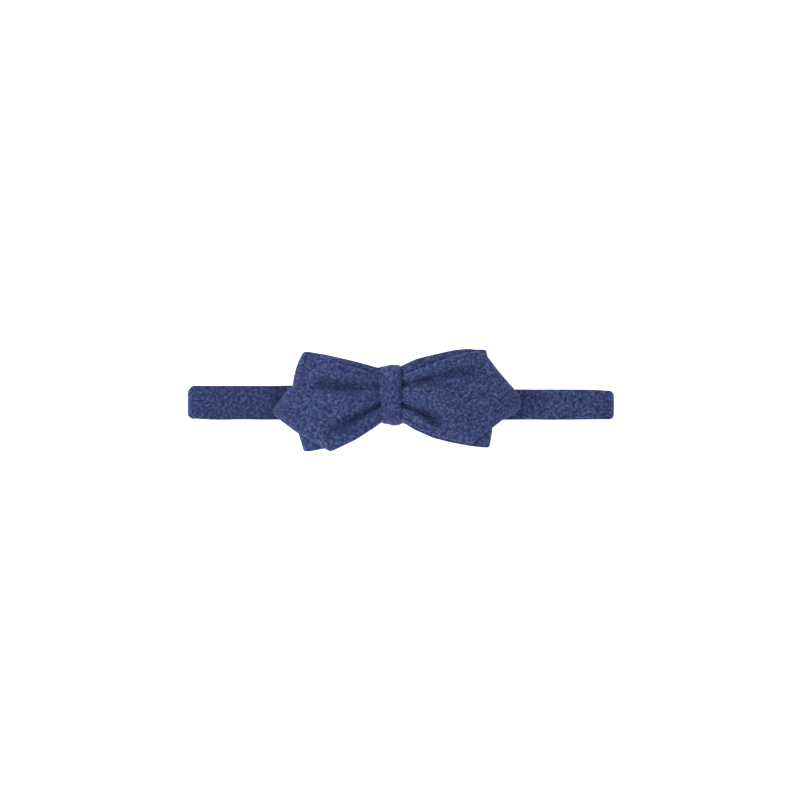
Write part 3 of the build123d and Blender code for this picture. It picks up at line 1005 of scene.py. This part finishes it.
def slanted(places, y_mid, pitch, most, reach_x, reach_y, z):
    """The ends of columns of slanted stitches, at places along x: 2 * most + 1 in each column."""
    return [
        ((x - reach_x, y - reach_y, z), (x + reach_x, y + reach_y, z))
        for x in places
        for y in y_mid + pitch * np.arange(-most, most + 1)
    ]


def sewing():
    """Threads where the CAD model has its stitches."""
    lo, hi = span("tail_tack_stitches")
    ends = slanted([(lo[0] + hi[0]) / 2], RIGHT_Y, 2.0, 3, 0.15, 0.7, hi[2] - 0.12)
    stitches("tail_tack_stitches", ends, "adjuster")

    lo, hi = span("eye_bartack_stitches")
    ends = slanted([lo[0] + 0.25, hi[0] - 0.25], RIGHT_Y, 1.5, 4, 0.2, 0.5, hi[2] - 0.10)
    stitches("eye_bartack_stitches", ends, "right_lower")

    lo, hi = span("knot_closing_stitches")
    y_mid = (lo[1] + hi[1]) / 2
    ends = slanted([(lo[0] + hi[0]) / 2], y_mid, 2.2, 4, 1.2, 0.25, lo[2] + 0.12)
    stitches("knot_closing_stitches", ends, "bow", sag=-0.16)


neckband()
front_strip()
back_loop()
knot()
for node in ("hook", "eye_ring", "slide_adjuster"):
    for s in frame["nodes"][node].material_slots:
        s.material = NICKEL
sewing()


# ---- floor, light and camera -------------------------------------------------------------
LIGHT_PLACE, LIGHT_SIZE, LIGHT_POWER = (-1.1, -0.02, 0.85), 0.42, 7.75  # m, m, W
WORLD_STRENGTH = 0.68
CAMERA_PLACE = (-0.0004, 0, 2.2)
FIELD, FIELD_Z = 0.3903, 0.008  # the picture is this wide at this height above the table (m)
SENSOR = 36  # mm


def studio():
    """A white paper floor, one large light on the left, and the camera straight above."""
    material, n = new_material("paper_floor")
    grain = n.noise(n.add("TexCoord").outputs["Object"], 260.0, 3.0)
    tone = n.ramp(grain, [(0.0, (0.90, 0.90, 0.90)), (1.0, (0.94, 0.94, 0.94))])
    paper = {"Base Color": tone, "Roughness": 0.9, "Specular IOR Level": 0.1}
    shader = n.add("BsdfPrincipled", paper)
    glow = n.add("Emission", {"Color": (1, 1, 1, 1), "Strength": 1.0})
    n.surface(n.add("AddShader", {0: shader.outputs[0], 1: glow.outputs[0]}))
    bpy.ops.mesh.primitive_plane_add(size=6, location=(0, 0, -0.0002))
    floor = bpy.context.object
    floor.name = "floor"
    floor.data.materials.append(material)

    scene = bpy.context.scene
    scene.world = bpy.data.worlds.new("studio")
    scene.world.use_nodes = True
    sky = scene.world.node_tree.nodes["Background"].inputs
    sky["Color"].default_value = (1, 1, 1, 1)
    sky["Strength"].default_value = WORLD_STRENGTH

    light = bpy.data.lights.new("key", "AREA")
    light.shape, light.size, light.energy = "SQUARE", LIGHT_SIZE, LIGHT_POWER
    key = bpy.data.objects.new("key", light)
    scene.collection.objects.link(key)
    key.location = LIGHT_PLACE
    key.rotation_mode = "QUATERNION"
    key.rotation_quaternion = Vector(-np.array(LIGHT_PLACE)).to_track_quat("-Z", "Y")

    camera = bpy.data.cameras.new("camera")
    camera.sensor_width = SENSOR
    camera.lens = SENSOR * (CAMERA_PLACE[2] - FIELD_Z) / FIELD
    camera.clip_start, camera.clip_end = 0.05, 50
    eye = bpy.data.objects.new("camera", camera)
    scene.collection.objects.link(eye)
    eye.location = CAMERA_PLACE
    eye.rotation_euler = (0, 0, 0)
    scene.camera = eye
    scene.view_settings.view_transform = "Standard"


studio()
